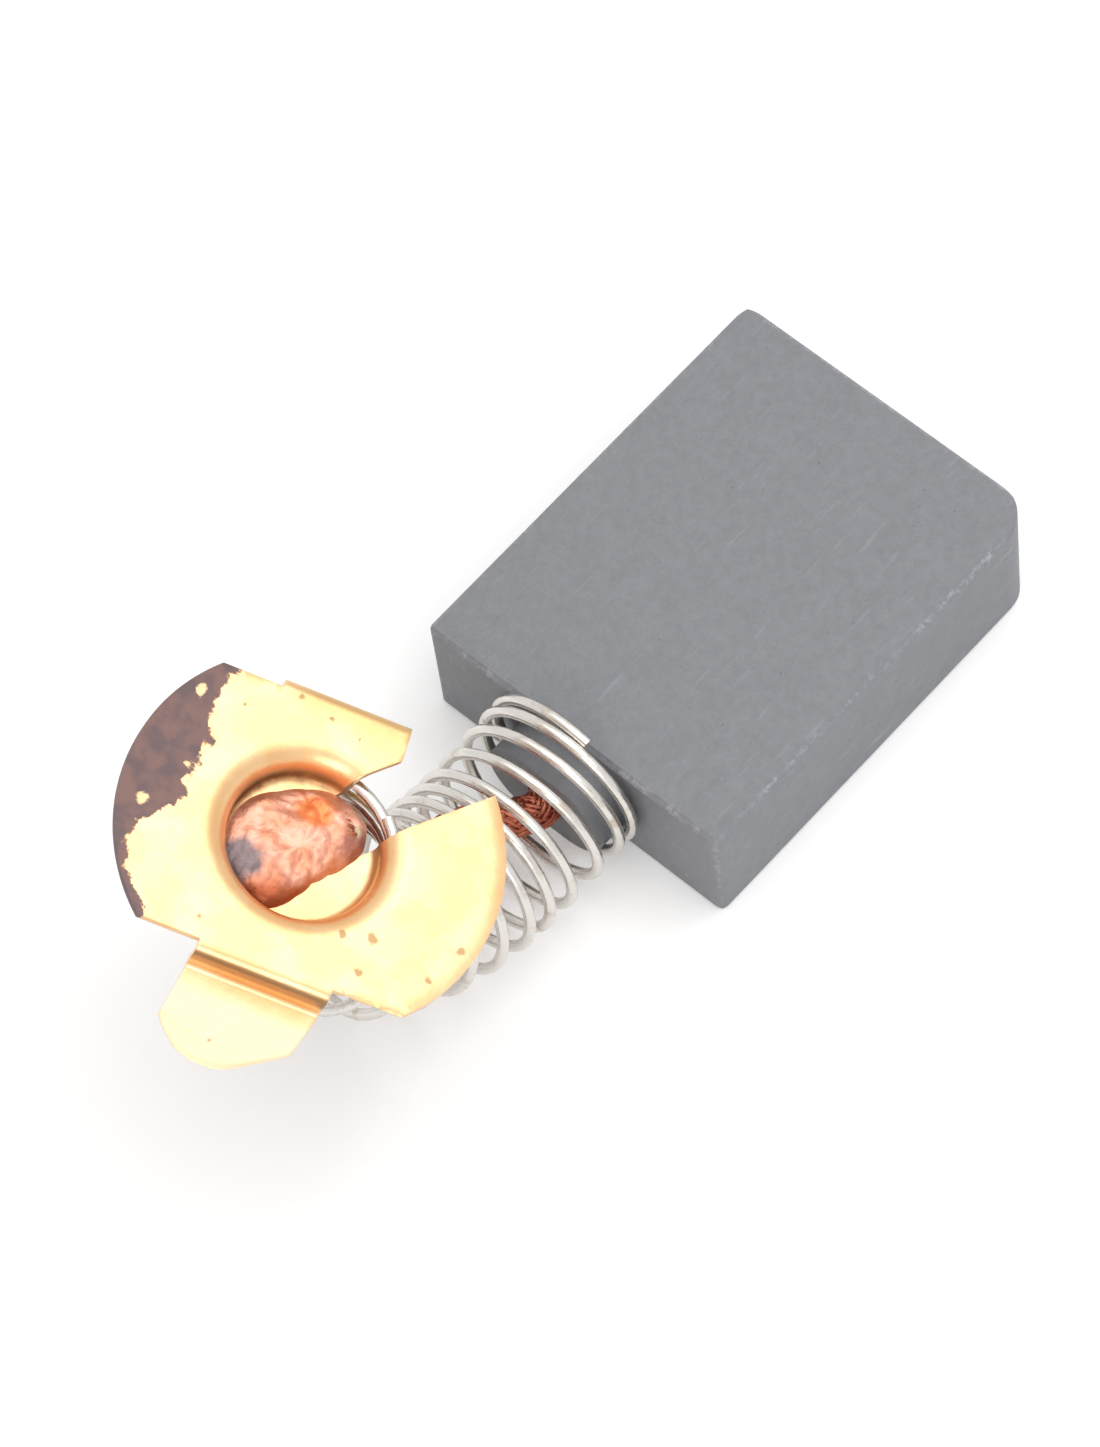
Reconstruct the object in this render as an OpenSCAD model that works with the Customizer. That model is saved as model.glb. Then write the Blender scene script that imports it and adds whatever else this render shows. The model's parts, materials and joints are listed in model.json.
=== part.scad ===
// Carbon brush with a coil spring, a copper pigtail and a stamped brass cap.
//
// The block lies flat on its broad face. The free spring leaves the block's back end,
// bends upwards and carries the cap, whose open side looks up. The braided pigtail runs
// inside the spring from the block to the cap's cup, where its flattened end is welded.
//
// Origin: middle of the block's underside. +X points at the face that wears, +Z up.
// Millimetres.

/* [Carbon block] */
// Length, from the back end to the face that wears
block_l = 23; // [16:0.5:40]
// Width
block_w = 18; // [13:0.5:30]
// Thickness
block_t = 7; // [7:0.5:12]
// Radius of the one corner that is worn round, at the wearing face
worn_r = 2.2; // [1:0.1:4]
// Radius of the other corner at the wearing face
front_r = 0.9; // [0.4:0.1:2]
// Radius of the two corners at the back end
back_r = 0.5; // [0.3:0.1:1.5]
// Chamfer that breaks the long edges
edge_break = 0.25; // [0.1:0.05:0.6]

/* [Spring seat] */
// Height of the boss that the spring sits on
boss_h = 5; // [4:0.1:5.4]
// How far the boss stands out of the block
boss_l = 2.1; // [1.5:0.1:3]
// Gap between the boss and the spring on each side, across the width
boss_gap = 0.5; // [0.3:0.05:0.8]

/* [Spring] */
// Diameter of the spring's wire
wire_d = 0.56; // [0.4:0.02:0.6]
// Number of turns
spring_turns = 16; // [12:1:16]
// Room between the spring and the cup that it is pushed over, on each side
spring_fit = 0.05; // [0.03:0.01:0.2]
// Height of the lowest turns above the surface that the block lies on
floor_gap = 0.02; // [0.01:0.01:0.2]

/* [Pigtail] */
// Diameter of the braid
shunt_d = 2; // [1.4:0.1:2.2]
// How deep the braid is set into the block, from the end of the boss
shunt_depth = 8; // [5:0.5:12]
// Room round the braid in its hole
shunt_fit = 0.04; // [0.02:0.01:0.1]
// Width of the flattened end in the cup
weld_w = 4.6; // [3:0.1:5]
// Thickness of the flattened end
weld_t = 0.9; // [0.6:0.1:1]

/* [Brass cap] */
// Thickness of the sheet
sheet_t = 0.4; // [0.3:0.05:0.5]
// Diameter of the round rim
flange_d = 18; // [16:0.1:24]
// How far the rim's middle lies beside the cup's middle
flange_shift = 0.17; // [0:0.01:0.3]
// Distance between the two flats
flat_w = 12.9; // [12:0.1:14]
// Inside diameter of the cup
cup_d = 7.1; // [6.6:0.1:8]
// Depth of the cup, from the flange's face to its floor
cup_depth = 1.8; // [1.7:0.1:2.6]
// Radius where the flange rolls over into the cup
dish_r = 1.2; // [0.8:0.1:1.3]
// Radius inside the cup, round its floor
floor_r = 0.35; // [0.1:0.05:0.4]
// Width of the slot that lets the braid into the cup
slot_w = 3; // [2.6:0.1:3.4]
// Direction of the slot, from the line of the flats
slot_angle = 43; // [35:1:55]
// How far the slot's middle lies beside the cup's middle
slot_shift = 0.3; // [0:0.1:0.5]
// Distance from the cup's middle to the inner end of the slot
slot_reach = 1.75; // [1.5:0.05:2]

/* [Ears] */
// Width of an ear at its root
ear_w = 6.3; // [4:0.1:7]
// Distance between the outer faces of the two bends, across the flats
ear_span = 14.1; // [13.6:0.1:16]
// Outer radius of the bends
ear_bend_r = 0.6; // [0.55:0.05:1]
// Length of the straight ear, down from the flange's face
ear_l = 5.2; // [4:0.1:7]
// Drop of the splayed ear, from the flange's face to its second bend
ear_step = 1.5; // [1.2:0.1:2.5]
// Length of the splayed part
splay_l = 3.9; // [3:0.1:5]
// Slope of the splayed part below the flange's plane
splay_angle = 20; // [0:1:45]

/* [Where the cap stands] */
// Distance from the block's back end to the cap's middle, backwards
cap_back = 14.9; // [13:0.1:17]
// Sideways distance from the block's middle to the cap's middle
cap_side = 1.2; // [-1:0.1:2.5]
// Height of the cap's middle above the spring's seat
cap_rise = 12.95; // [11.5:0.05:16]
// Tilt of the cap's axis from upright
cap_tilt = 22; // [10:1:30]
// Compass direction that the cap's axis leans to
cap_turn = -64; // [-80:1:-40]

/* [Hidden] */
fine = 96;
far = 60;

// Spring: inside it fits the cup, outside it clears the surface under the block
cup_r = cup_d / 2;
coil_in_r = cup_r + sheet_t + spring_fit;
coil_r = coil_in_r + wire_d / 2;
coil_out_r = coil_in_r + wire_d;
seat_z = max(coil_out_r + floor_gap, block_t / 2);
back_x = -block_l / 2;
seat = [back_x - wire_d / 2 - 0.02, 0, seat_z];

// Boss: round-ended, as low in the spring as the spring lets it be
boss_w = 2 * (coil_in_r - boss_gap);
boss_end_r = boss_h / 2;
boss_half = boss_w / 2 - boss_end_r;
boss_play = sqrt(pow(coil_in_r - boss_end_r, 2) - pow(boss_half, 2));
boss_z = max(block_t / 2, seat_z - boss_play + 0.03);
boss_x = back_x - boss_l;

// Axis of the cap, and the point where the spring's last turn lies under the flange
cap_at = [back_x - cap_back, cap_side, seat_z + cap_rise];
cap_rot = [0, cap_tilt, cap_turn];
cap_x = [cos(cap_tilt) * cos(cap_turn), cos(cap_tilt) * sin(cap_turn), -sin(cap_tilt)];
cap_y = [-sin(cap_turn), cos(cap_turn), 0];
cap_n = cross(cap_x, cap_y);
function in_cap(p) = cap_at + p.x * cap_x + p.y * cap_y + p.z * cap_n;
roll_r = dish_r - sheet_t - wire_d / 2;
roll_off = cup_r + dish_r - coil_r;
coil_drop = dish_r - sqrt(max(0, roll_r * roll_r - roll_off * roll_off)) + 0.05;

// Middle line of the spring: a curve from the seat, backwards and up into the cap
axis_poles = [
    seat,
    seat + [-4.4, 0, 0],
    seat + [-16, -2, -0.2],
    in_cap([0, 0, -coil_drop - 6.4]),
    in_cap([0, 0, -coil_drop]),
];
function bezier(p, t) = len(p) == 1 ? p[0]
    : bezier([for (i = [0:len(p) - 2]) p[i] * (1 - t) + p[i + 1] * t], t);
function unit(v) = v / norm(v);
axis_steps = 80;
axis_points = [for (i = [0:axis_steps]) bezier(axis_poles, i / axis_steps)];
axis_run = [for (i = 0, s = 0; i <= axis_steps;
    i = i + 1, s = s + norm(axis_points[min(i, axis_steps)] - axis_points[i - 1])) s];
axis_l = axis_run[axis_steps];
run_table = [for (i = [0:axis_steps]) [axis_run[i], i / axis_steps]];
function axis_at(s) = bezier(axis_poles, lookup(s, run_table));
function axis_dir(s) = let (t = min(0.995, max(0.005, lookup(s, run_table))))
    unit(bezier(axis_poles, t + 0.005) - bezier(axis_poles, t - 0.005));
function axis_side(s) = let (d = axis_dir(s)) unit([0, 1, 0] - d.y * d);
function round_axis(s, r, a) = let (d = axis_dir(s), n = axis_side(s))
    axis_at(s) + r * (cos(a) * n + sin(a) * cross(d, n));

// Where each turn lies along the middle line: the first ones have been pulled
// unevenly, the rest share what is left, and the last one is closed
first_turns = [0, wire_d + 0.05, 1.75, 3.45, 5.3, 6.6, 7.8];
closed_pitch = wire_d + 0.05;
turn_table = concat(
    [for (i = [0:len(first_turns) - 1]) [i, first_turns[i]]],
    [[spring_turns - 1, axis_l - closed_pitch], [spring_turns, axis_l]]);
function turn_run(t) = (lookup(t - 0.3, turn_table) + lookup(t, turn_table)
    + lookup(t + 0.3, turn_table)) / 3;
wire_phase = -112;
function wire_at(t) = round_axis(turn_run(t), coil_r, 360 * t + wire_phase);
wire_sides = 8;
turn_steps = 20;

// Route of the braid: out of the boss, beside the spring's middle line, up
// through the slot and flat across the floor of the cup
slot_dir = [cos(slot_angle), sin(slot_angle), 0];
slot_side = [-sin(slot_angle), cos(slot_angle), 0];
function in_slot(r, z) = in_cap(r * slot_dir + slot_shift * slot_side + [0, 0, z]);
shunt_r = shunt_d / 2;
rise_r = coil_in_r - shunt_r - 0.1;
weld_z = -cup_depth + weld_t / 2 + 0.02;
weld_bend_r = 1;
shunt_mouth = [boss_x, 0, boss_z];
braid_points = [
    shunt_mouth + [shunt_depth, 0, 0],
    shunt_mouth + [shunt_depth / 2, 0, 0],
    shunt_mouth + [1, 0, 0],
    shunt_mouth + [-0.8, 0, 0],
    round_axis(4.6, 1.5, 20),
    round_axis(7, 1.9, -15),
    round_axis(9.8, 1.2, -30),
    round_axis(12.8, 0.6, 0),
    round_axis(15.6, 0.7, 60),
    in_slot(rise_r - 1, -cup_depth - 5.4),
    in_slot(rise_r - 0.15, -cup_depth - 3),
];
weld_points = [
    in_slot(rise_r, weld_z - weld_bend_r - 0.8),
    in_slot(rise_r, weld_z - weld_bend_r),
    in_slot(rise_r - 0.29 * weld_bend_r, weld_z - 0.29 * weld_bend_r),
    in_slot(rise_r - weld_bend_r, weld_z),
    in_slot(0.9, weld_z),
    in_slot(-0.4, weld_z),
    in_slot(-1.8, weld_z),
    in_slot(0.3 - cup_r + floor_r, weld_z),
];
// Half width and half thickness of the braid at each point of its route
braid_half = [for (p = braid_points) [shunt_r, shunt_r]];
weld_half = [
    [shunt_r * 1.05, shunt_r * 0.85],
    [shunt_r * 1.15, weld_t * 0.6],
    [shunt_r * 1.2, weld_t / 2],
    [weld_w * 0.3, weld_t / 2],
    [weld_w * 0.38, weld_t / 2],
    [weld_w * 0.46, weld_t / 2],
    [weld_w / 2, weld_t / 2],
    [weld_w * 0.33, weld_t * 0.4],
];
route = concat(braid_points, weld_points);
route_half = concat(braid_half, weld_half);
braid_sides = 12;
braid_steps = 4;

function spline(p, i, t) = let (
        n = len(p) - 1,
        a = p[max(0, i - 1)], b = p[i], c = p[min(n, i + 1)], d = p[min(n, i + 2)])
    0.5 * (2 * b + (c - a) * t + (2 * a - 5 * b + 4 * c - d) * t * t
        + (3 * b - a - 3 * c + d) * t * t * t);

// A tube of n-sided rings, closed at both ends
module tube(rings) {
    n = len(rings[0]);
    last = len(rings) - 1;
    polyhedron(
        points = [for (ring = rings) each ring],
        faces = concat(
            [[for (k = [n - 1:-1:0]) k]],
            [for (i = [0:last - 1]) for (k = [0:n - 1])
                let (a = i * n + k, b = i * n + (k + 1) % n) each [[a, b, b + n], [a, b + n, a + n]]],
            [[for (k = [0:n - 1]) last * n + k]]),
        convexity = 10);
}

module rounded_box_outline(l, w, radii) {
    difference() {
        square([l, w], center = true);
        for (i = [0:3]) {
            r = radii[i];
            sx = i < 2 ? 1 : -1;
            sy = i % 2 == 0 ? 1 : -1;
            translate([sx * (l / 2 - r), sy * (w / 2 - r)])
                difference() {
                    translate([sx > 0 ? 0 : -r - 1, sy > 0 ? 0 : -r - 1]) square(r + 1);
                    circle(r = r, $fn = fine);
                }
        }
    }
}

module chamfered_outline(l, h, c) {
    polygon([
        [-l / 2 + c, 0], [l / 2 - c, 0], [l / 2, c], [l / 2, h - c],
        [l / 2 - c, h], [-l / 2 + c, h], [-l / 2, h - c], [-l / 2, c],
    ]);
}

module boss_outline(r, half) {
    square([2 * half, 2 * r], center = true);
    for (s = [-1, 1]) translate([s * half, 0]) circle(r = r, $fn = fine);
}

module carbon_block() color([0.36, 0.36, 0.38]) difference() {
    union() {
        intersection() {
            linear_extrude(block_t)
                rounded_box_outline(block_l, block_w, [front_r, worn_r, back_r, back_r]);
            rotate([90, 0, 0]) linear_extrude(far, center = true)
                chamfered_outline(block_l, block_t, edge_break);
            rotate([90, 0, 90]) linear_extrude(far, center = true)
                chamfered_outline(block_w, block_t, edge_break);
        }
        translate([boss_x, 0, boss_z]) rotate([90, 0, 90])
            linear_extrude(boss_l + 1) boss_outline(boss_end_r, boss_half);
    }
    translate([boss_x - 1, 0, boss_z]) rotate([0, 90, 0])
        cylinder(r = shunt_r + shunt_fit, h = shunt_depth + 1, $fn = fine);
}

module spring() color([0.78, 0.77, 0.74]) {
    steps = spring_turns * turn_steps;
    tube([for (i = [0:steps]) let (
            t = i / turn_steps,
            p = wire_at(t),
            ahead = unit(wire_at(t + 0.01) - wire_at(t - 0.01)),
            out = unit(p - axis_at(turn_run(t))),
            up = unit(cross(ahead, out)))
        [for (k = [0:wire_sides - 1]) let (a = 360 * k / wire_sides)
            p + wire_d / 2 * (cos(a) * out + sin(a) * up)]]);
}

module pigtail() color([0.72, 0.42, 0.30]) {
    last = len(route) - 2;
    tube([for (i = [0:last]) for (j = [0:braid_steps - (i == last ? 0 : 1)]) let (
            t = j / braid_steps,
            p = spline(route, i, t),
            ahead = unit(spline(route, i, t + 0.02) - spline(route, i, t - 0.02)),
            side = unit(cross(cap_n, slot_dir.x * cap_x + slot_dir.y * cap_y)),
            wide = unit(side - (side * ahead) * ahead),
            thick = cross(ahead, wide),
            half = spline(route_half, i, t))
        [for (k = [0:braid_sides - 1]) let (a = 360 * k / braid_sides)
            p + half[0] * cos(a) * wide + half[1] * sin(a) * thick]]);
}

// Quarter of a bent sheet: a ring between two radii, from angle a1 to a2
module bend(r_out, thick, a1, a2) {
    mid = (a1 + a2) / 2;
    reach = 2 * r_out;
    intersection() {
        difference() {
            circle(r = r_out, $fn = fine);
            circle(r = r_out - thick, $fn = fine);
        }
        polygon([[0, 0], reach * [cos(a1), sin(a1)], reach * [cos(mid), sin(mid)], reach * [cos(a2), sin(a2)]]);
    }
}

module cup_profile() {
    translate([cup_r + dish_r, -sheet_t]) square([flange_d / 2, sheet_t]);
    translate([cup_r + dish_r, -dish_r]) bend(dish_r, sheet_t, 90, 180);
    translate([cup_r, -cup_depth + floor_r]) square([sheet_t, cup_depth - floor_r - dish_r]);
    translate([cup_r - floor_r, -cup_depth + floor_r]) bend(floor_r + sheet_t, sheet_t, -90, 0);
    translate([0, -cup_depth - sheet_t]) square([cup_r - floor_r, sheet_t]);
}

module rim_outline() {
    intersection() {
        circle(d = flange_d, $fn = 2 * fine);
        square([flange_d, flat_w], center = true);
    }
}

module slot_cut() {
    translate([0, 0, -far / 2]) linear_extrude(far) {
        rotate(slot_angle) translate([slot_reach, slot_shift - slot_w / 2]) square([flange_d, slot_w]);
        // the corner between the slot and the straight ear is gone as well
        intersection() {
            translate([ear_w / 2 - 0.2, 0]) square(flange_d);
            rotate(slot_angle) translate([slot_reach, slot_shift]) square(flange_d);
        }
    }
}

module ear_start() {
    out = ear_span / 2;
    translate([flat_w / 2 - 1, -sheet_t]) square([out - ear_bend_r - flat_w / 2 + 1, sheet_t]);
    translate([out - ear_bend_r, -ear_bend_r]) bend(ear_bend_r, sheet_t, 0, 90);
}

module straight_ear() {
    out = ear_span / 2;
    corner = 1.7;
    intersection() {
        rotate([90, 0, 90]) linear_extrude(ear_w, center = true) {
            ear_start();
            translate([out - sheet_t, -ear_l]) square([sheet_t, ear_l - ear_bend_r]);
        }
        rotate([90, 0, 0]) linear_extrude(far, center = true)
            translate([0, far / 2 - ear_l]) rounded_box_outline_tip(ear_w, corner);
    }
}

// A tab that is open to the top, with two round corners at its lower end
module rounded_box_outline_tip(w, r) {
    translate([-w / 2, -far / 2 + r]) square([w, far]);
    translate([-w / 2 + r, -far / 2]) square([w - 2 * r, 2 * r]);
    for (s = [-1, 1]) translate([s * (w / 2 - r), -far / 2 + r]) circle(r = r, $fn = fine);
}

module splayed_ear() {
    out = ear_span / 2;
    turn_r = 0.35;
    mirror([0, 1, 0]) intersection() {
        rotate([90, 0, 90]) linear_extrude(ear_w + 1, center = true) {
            ear_start();
            translate([out - sheet_t, -ear_step]) square([sheet_t, ear_step - ear_bend_r]);
            translate([out + turn_r, -ear_step]) {
                bend(turn_r + sheet_t, sheet_t, 180, 270 - splay_angle);
                rotate(-splay_angle) translate([0, -turn_r - sheet_t]) square([splay_l, sheet_t]);
            }
        }
        translate([0, 0, -far / 2]) linear_extrude(far) splay_outline();
    }
}

// Seen from above: widest near its blunt left corner, tapering to the right
module splay_outline() {
    root = flat_w / 2 - 1;
    tip = ear_span / 2 + splay_l * cos(splay_angle);
    translate([-ear_w / 2, root]) square([ear_w, ear_span / 2 - root + 0.6]);
    hull() {
        translate([-ear_w / 2, ear_span / 2]) square([ear_w, 0.6]);
        translate([-ear_w / 2 + 1.4, tip - 1.7]) circle(r = 1.7, $fn = 32);
        translate([ear_w / 2 - 1.2, tip - 2]) circle(r = 0.9, $fn = 32);
    }
}

module brass_cap() color([0.86, 0.70, 0.40]) translate(cap_at) rotate(cap_rot) {
    difference() {
        union() {
            intersection() {
                rotate_extrude($fn = 2 * fine) cup_profile();
                translate([flange_shift, 0, -far / 2]) linear_extrude(far) rim_outline();
            }
            straight_ear();
            splayed_ear();
        }
        slot_cut();
    }
}

carbon_block();
spring();
pigtail();
brass_cap();
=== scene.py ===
"""Carbon brush: a carbon block, a bent coil spring, a braided pigtail and a stamped brass cap."""

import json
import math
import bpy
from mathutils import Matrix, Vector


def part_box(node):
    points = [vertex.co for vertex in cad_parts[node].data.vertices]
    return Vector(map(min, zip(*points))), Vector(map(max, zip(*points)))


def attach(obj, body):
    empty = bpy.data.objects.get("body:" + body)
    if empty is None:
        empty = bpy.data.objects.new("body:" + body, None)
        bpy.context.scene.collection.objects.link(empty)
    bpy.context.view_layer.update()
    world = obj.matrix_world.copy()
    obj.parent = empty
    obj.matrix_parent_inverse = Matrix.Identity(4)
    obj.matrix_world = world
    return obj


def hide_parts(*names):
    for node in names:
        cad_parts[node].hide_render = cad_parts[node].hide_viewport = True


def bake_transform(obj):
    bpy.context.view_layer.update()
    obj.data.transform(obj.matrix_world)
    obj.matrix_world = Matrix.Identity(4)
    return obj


bl_info = {
    "name": "Carbon Brush",
    "version": (1, 0, 0),
    "blender": (4, 5, 0),
    "location": "View3D > Sidebar > Carbon Brush",
    "description": "Builds the dressed model of a carbon brush around its CAD frame",
    "category": "Object",
}

import bpy
from bpy.props import FloatProperty, FloatVectorProperty, IntProperty, PointerProperty
from mathutils import Matrix, Vector, noise

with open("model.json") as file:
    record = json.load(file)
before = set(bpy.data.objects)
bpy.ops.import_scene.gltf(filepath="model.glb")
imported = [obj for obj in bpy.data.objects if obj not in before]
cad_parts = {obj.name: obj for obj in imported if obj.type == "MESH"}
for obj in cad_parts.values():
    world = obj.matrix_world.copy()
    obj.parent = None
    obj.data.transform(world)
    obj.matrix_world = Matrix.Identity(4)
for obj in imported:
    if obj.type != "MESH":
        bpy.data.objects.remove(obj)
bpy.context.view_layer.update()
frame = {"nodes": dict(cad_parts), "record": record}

MM = 0.001
NODES = frame["nodes"]
MOUNTS = {m["name"]: m for m in frame["record"]["mounts"]}

BLOCK_LOW, BLOCK_HIGH = (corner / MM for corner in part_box("carbon_block"))
BOSS_Z = BLOCK_HIGH.z / 2  # the boss sits at half the block's thickness

# The cap's own axes: CAP_X along the flats, CAP_N out of the cup's open side. The cap's mount
# lies beside the cup's middle
MOUNT_OFF = 7.0
CAP_N = Vector(MOUNTS["cap_face"]["axis"]).normalized()
CAP_Y = Vector((0, 0, 1)).cross(CAP_N).normalized()
CAP_X = CAP_Y.cross(CAP_N)
CAP_AT = Vector(MOUNTS["cap_face"]["pos_m"]) / MM + MOUNT_OFF * CAP_X
CAP_PLACE = Matrix.Translation(CAP_AT) @ Matrix((CAP_X, CAP_Y, CAP_N)).transposed().to_4x4()

# The cap's slot, in the cap's axes: its direction in degrees, its two sides and its closed end
SLOT_ANGLE = 43
SLOT_LOW, SLOT_HIGH = -1.2, 1.8
SLOT_END = 1.75


def in_cap(x, y, z):
    """A point given in the cap's own axes, in millimetres of the part's frame."""
    return CAP_AT + x * CAP_X + y * CAP_Y + z * CAP_N


# ---------------------------------------------------------------- sizes and colours

def length(name, text, default):
    """A length property whose default is given in millimetres."""
    return FloatProperty(name=name, description=text, default=default * MM, unit="LENGTH",
                         subtype="DISTANCE", precision=5, min=0.0)


def colour(name, text, default):
    """A colour property in linear values."""
    return FloatVectorProperty(name=name, description=text, default=default, subtype="COLOR",
                               size=3, min=0.0, max=1.0)


class BrushSizes(bpy.types.PropertyGroup):
    """Sizes of the pieces, as in the CAD model."""
    wire_d: length("Wire", "Diameter of the spring's wire", 0.56)
    coil_r: length("Coil radius", "Radius of the wire's middle line", 4.28)
    turns: IntProperty(name="Turns", description="Number of turns of the spring", default=16)
    boss_l: length("Boss", "How far the boss stands out of the block", 2.1)
    shunt_d: length("Braid", "Diameter of the pigtail's braid", 2.0)
    shunt_depth: length("Braid depth", "How deep the braid is set into the block", 8.0)
    sheet_t: length("Sheet", "Thickness of the cap's sheet", 0.4)
    cup_r: length("Cup radius", "Inside radius of the cup", 3.55)
    cup_depth: length("Cup depth", "Depth of the cup's floor below the flange", 1.8)
    dish_r: length("Roll-over", "Radius where the flange rolls over into the cup", 1.2)
    floor_r: length("Floor radius", "Radius inside the cup, round its floor", 0.35)
    rim_r: length("Rim radius", "Radius of the flange's round rim", 9.0)
    rim_shift: length("Rim shift", "How far the rim's middle lies beside the cup's", 0.17)
    flat_half: length("Flats", "Half the distance between the two flats", 6.45)
    ear_half: length("Ear", "Half the width of an ear at its root", 3.15)
    bend_r: length("Bend", "Outer radius of the ears' bends", 0.6)


class BrushColours(bpy.types.PropertyGroup):
    """Base colours of the finishes."""
    carbon: colour("Carbon", "Pressed carbon of the block", (0.20, 0.205, 0.22))
    steel: colour("Steel", "Spring steel", (0.70, 0.67, 0.63))
    brass: colour("Brass", "Clean brass of the cap", (0.80, 0.49, 0.235))
    oxide: colour("Oxide", "Burnt brass on the rim", (0.215, 0.125, 0.11))
    copper: colour("Copper", "Braid and weld", (0.84, 0.36, 0.22))


def mm(key):
    """One of the scene's sizes, in millimetres."""
    return getattr(bpy.context.scene.brush_sizes, key) / MM


# ---------------------------------------------------------------- modelling helpers

def deselect_all():
    """Leaves edit mode and deselects every object."""
    if bpy.context.object and bpy.context.object.mode != "OBJECT":
        bpy.ops.object.mode_set(mode="OBJECT")
    bpy.ops.object.select_all(action="DESELECT")


def make_active(piece):
    """Selects one object alone."""
    deselect_all()
    piece.select_set(True)
    bpy.context.view_layer.objects.active = piece


def name_piece(name):
    """Names the object that was just added, and its mesh."""
    piece = bpy.context.object
    piece.name = name
    piece.data.name = name
    return piece


def clear_selection(mesh):
    """In object mode: deselects every vertex, edge and face."""
    for group in (mesh.vertices, mesh.edges, mesh.polygons):
        group.foreach_set("select", [False] * len(group))


def select_faces(piece, test):
    """In edit mode: selects the faces whose corners all pass a test of their place."""
    bpy.ops.object.mode_set(mode="OBJECT")
    mesh = piece.data
    passed = [test(v.co) for v in mesh.vertices]
    clear_selection(mesh)
    for face in mesh.polygons:
        face.select = all(passed[i] for i in face.vertices)
    bpy.ops.object.mode_set(mode="EDIT")
    bpy.ops.mesh.select_mode(type="FACE")


def select_border(piece, test):
    """In edit mode: selects the border edges whose ends pass a test of their place."""
    bpy.ops.object.mode_set(mode="EDIT")
    bpy.ops.mesh.select_mode(type="EDGE")
    bpy.ops.mesh.select_all(action="DESELECT")
    bpy.ops.mesh.select_non_manifold(extend=False, use_wire=True, use_boundary=True,
                                     use_multi_face=False, use_non_contiguous=False,
                                     use_verts=False)
    bpy.ops.object.mode_set(mode="OBJECT")
    mesh = piece.data
    keep = [e.index for e in mesh.edges
            if e.select and all(test(mesh.vertices[i].co) for i in e.vertices)]
    clear_selection(mesh)
    for i in keep:
        mesh.edges[i].select = True
    bpy.ops.object.mode_set(mode="EDIT")


def finish_mesh(piece, angle=35, place=None):
    """Brings a mesh that was modelled in millimetres to its place in metres, and smooths it."""
    make_active(piece)
    piece.data.transform(Matrix.Scale(MM, 4) @ (place or Matrix.Identity(4)))
    bpy.ops.object.shade_smooth_by_angle(angle=math.radians(angle))
    return piece


def apply_modifier(piece, kind, **settings):
    """Adds a modifier and applies it."""
    make_active(piece)
    bpy.ops.object.modifier_add(type=kind)
    modifier = piece.modifiers[-1]
    for key, value in settings.items():
        setattr(modifier, key, value)
    bpy.ops.object.modifier_apply(modifier=modifier.name)


def tube_from_paths(name, paths, radius, resolution):
    """Round tubes along paths of points in millimetres, as one mesh."""
    deselect_all()
    bpy.ops.object.add(type="CURVE")
    piece = bpy.context.object
    curve = piece.data
    curve.dimensions = "3D"
    for path in paths:
        line = curve.splines.new("POLY")
        line.points.add(len(path) - 1)
        line.points.foreach_set("co", [c for p in path for c in (*p, 1.0)])
    curve.bevel_depth = radius
    curve.bevel_resolution = resolution
    curve.use_fill_caps = True
    make_active(piece)
    bpy.ops.object.convert(target="MESH")
    return name_piece(name)


# ---------------------------------------------------------------- shader helpers

class Value:
    """A number socket on which arithmetic adds Math nodes."""

    def __init__(self, nodes, socket):
        self.nodes = nodes
        self.socket = socket

    def math(self, operation, *others):
        return self.nodes.math(operation, self, *others)

    def __add__(self, other):
        return self.math("ADD", other)

    def __sub__(self, other):
        return self.math("SUBTRACT", other)

    def __rsub__(self, other):
        return self.nodes.math("SUBTRACT", other, self)

    def __mul__(self, other):
        return self.math("MULTIPLY", other)

    def __truediv__(self, other):
        return self.math("DIVIDE", other)

    def __abs__(self):
        return self.math("ABSOLUTE")

    __radd__ = __add__
    __rmul__ = __mul__


def clamp01(value):
    """A number socket kept between 0 and 1."""
    return value.math("MAXIMUM", 0.0).math("MINIMUM", 1.0)


def opaque(shade):
    """Three numbers as a colour with alpha; a colour socket stays as it is."""
    return (*shade, 1.0) if isinstance(shade, tuple) else shade


class Nodes:
    """A node tree whose nodes are all made through one method."""

    def __init__(self, tree):
        self.tree = tree

    def link(self, socket, value):
        """Feeds a socket with another node's output, or sets it to a plain value."""
        if isinstance(value, Value):
            value = value.socket
        if isinstance(value, bpy.types.NodeSocket):
            self.tree.links.new(value, socket)
        else:
            socket.default_value = value

    def node(self, kind, settings=None, sockets=None):
        """A node with its settings set first, then its sockets fed with values or links."""
        made = self.tree.nodes.new(kind)
        for key, value in (settings or {}).items():
            if key == "stops":
                ramp = made.color_ramp
                while len(ramp.elements) > 1:
                    ramp.elements.remove(ramp.elements[-1])
                ramp.elements[0].position = value[0][0]
                ramp.elements[0].color = value[0][1]
                for place, shade in value[1:]:
                    ramp.elements.new(place).color = shade
            else:
                setattr(made, key, value)
        for key, value in (sockets or {}).items():
            self.link(made.inputs[key], value)
        return made

    def math(self, operation, *values):
        made = self.node("ShaderNodeMath", {"operation": operation}, dict(enumerate(values)))
        return Value(self, made.outputs[0])

    def seen(self):
        """1 for rays that show a thing, straight, mirrored or through, and 0 for other rays."""
        rays = self.node("ShaderNodeLightPath").outputs
        straight, mirrored, through = (Value(self, rays[f"Is {kind} Ray"])
                                       for kind in ("Camera", "Glossy", "Transmission"))
        return straight.math("MAXIMUM", mirrored).math("MAXIMUM", through)


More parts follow.
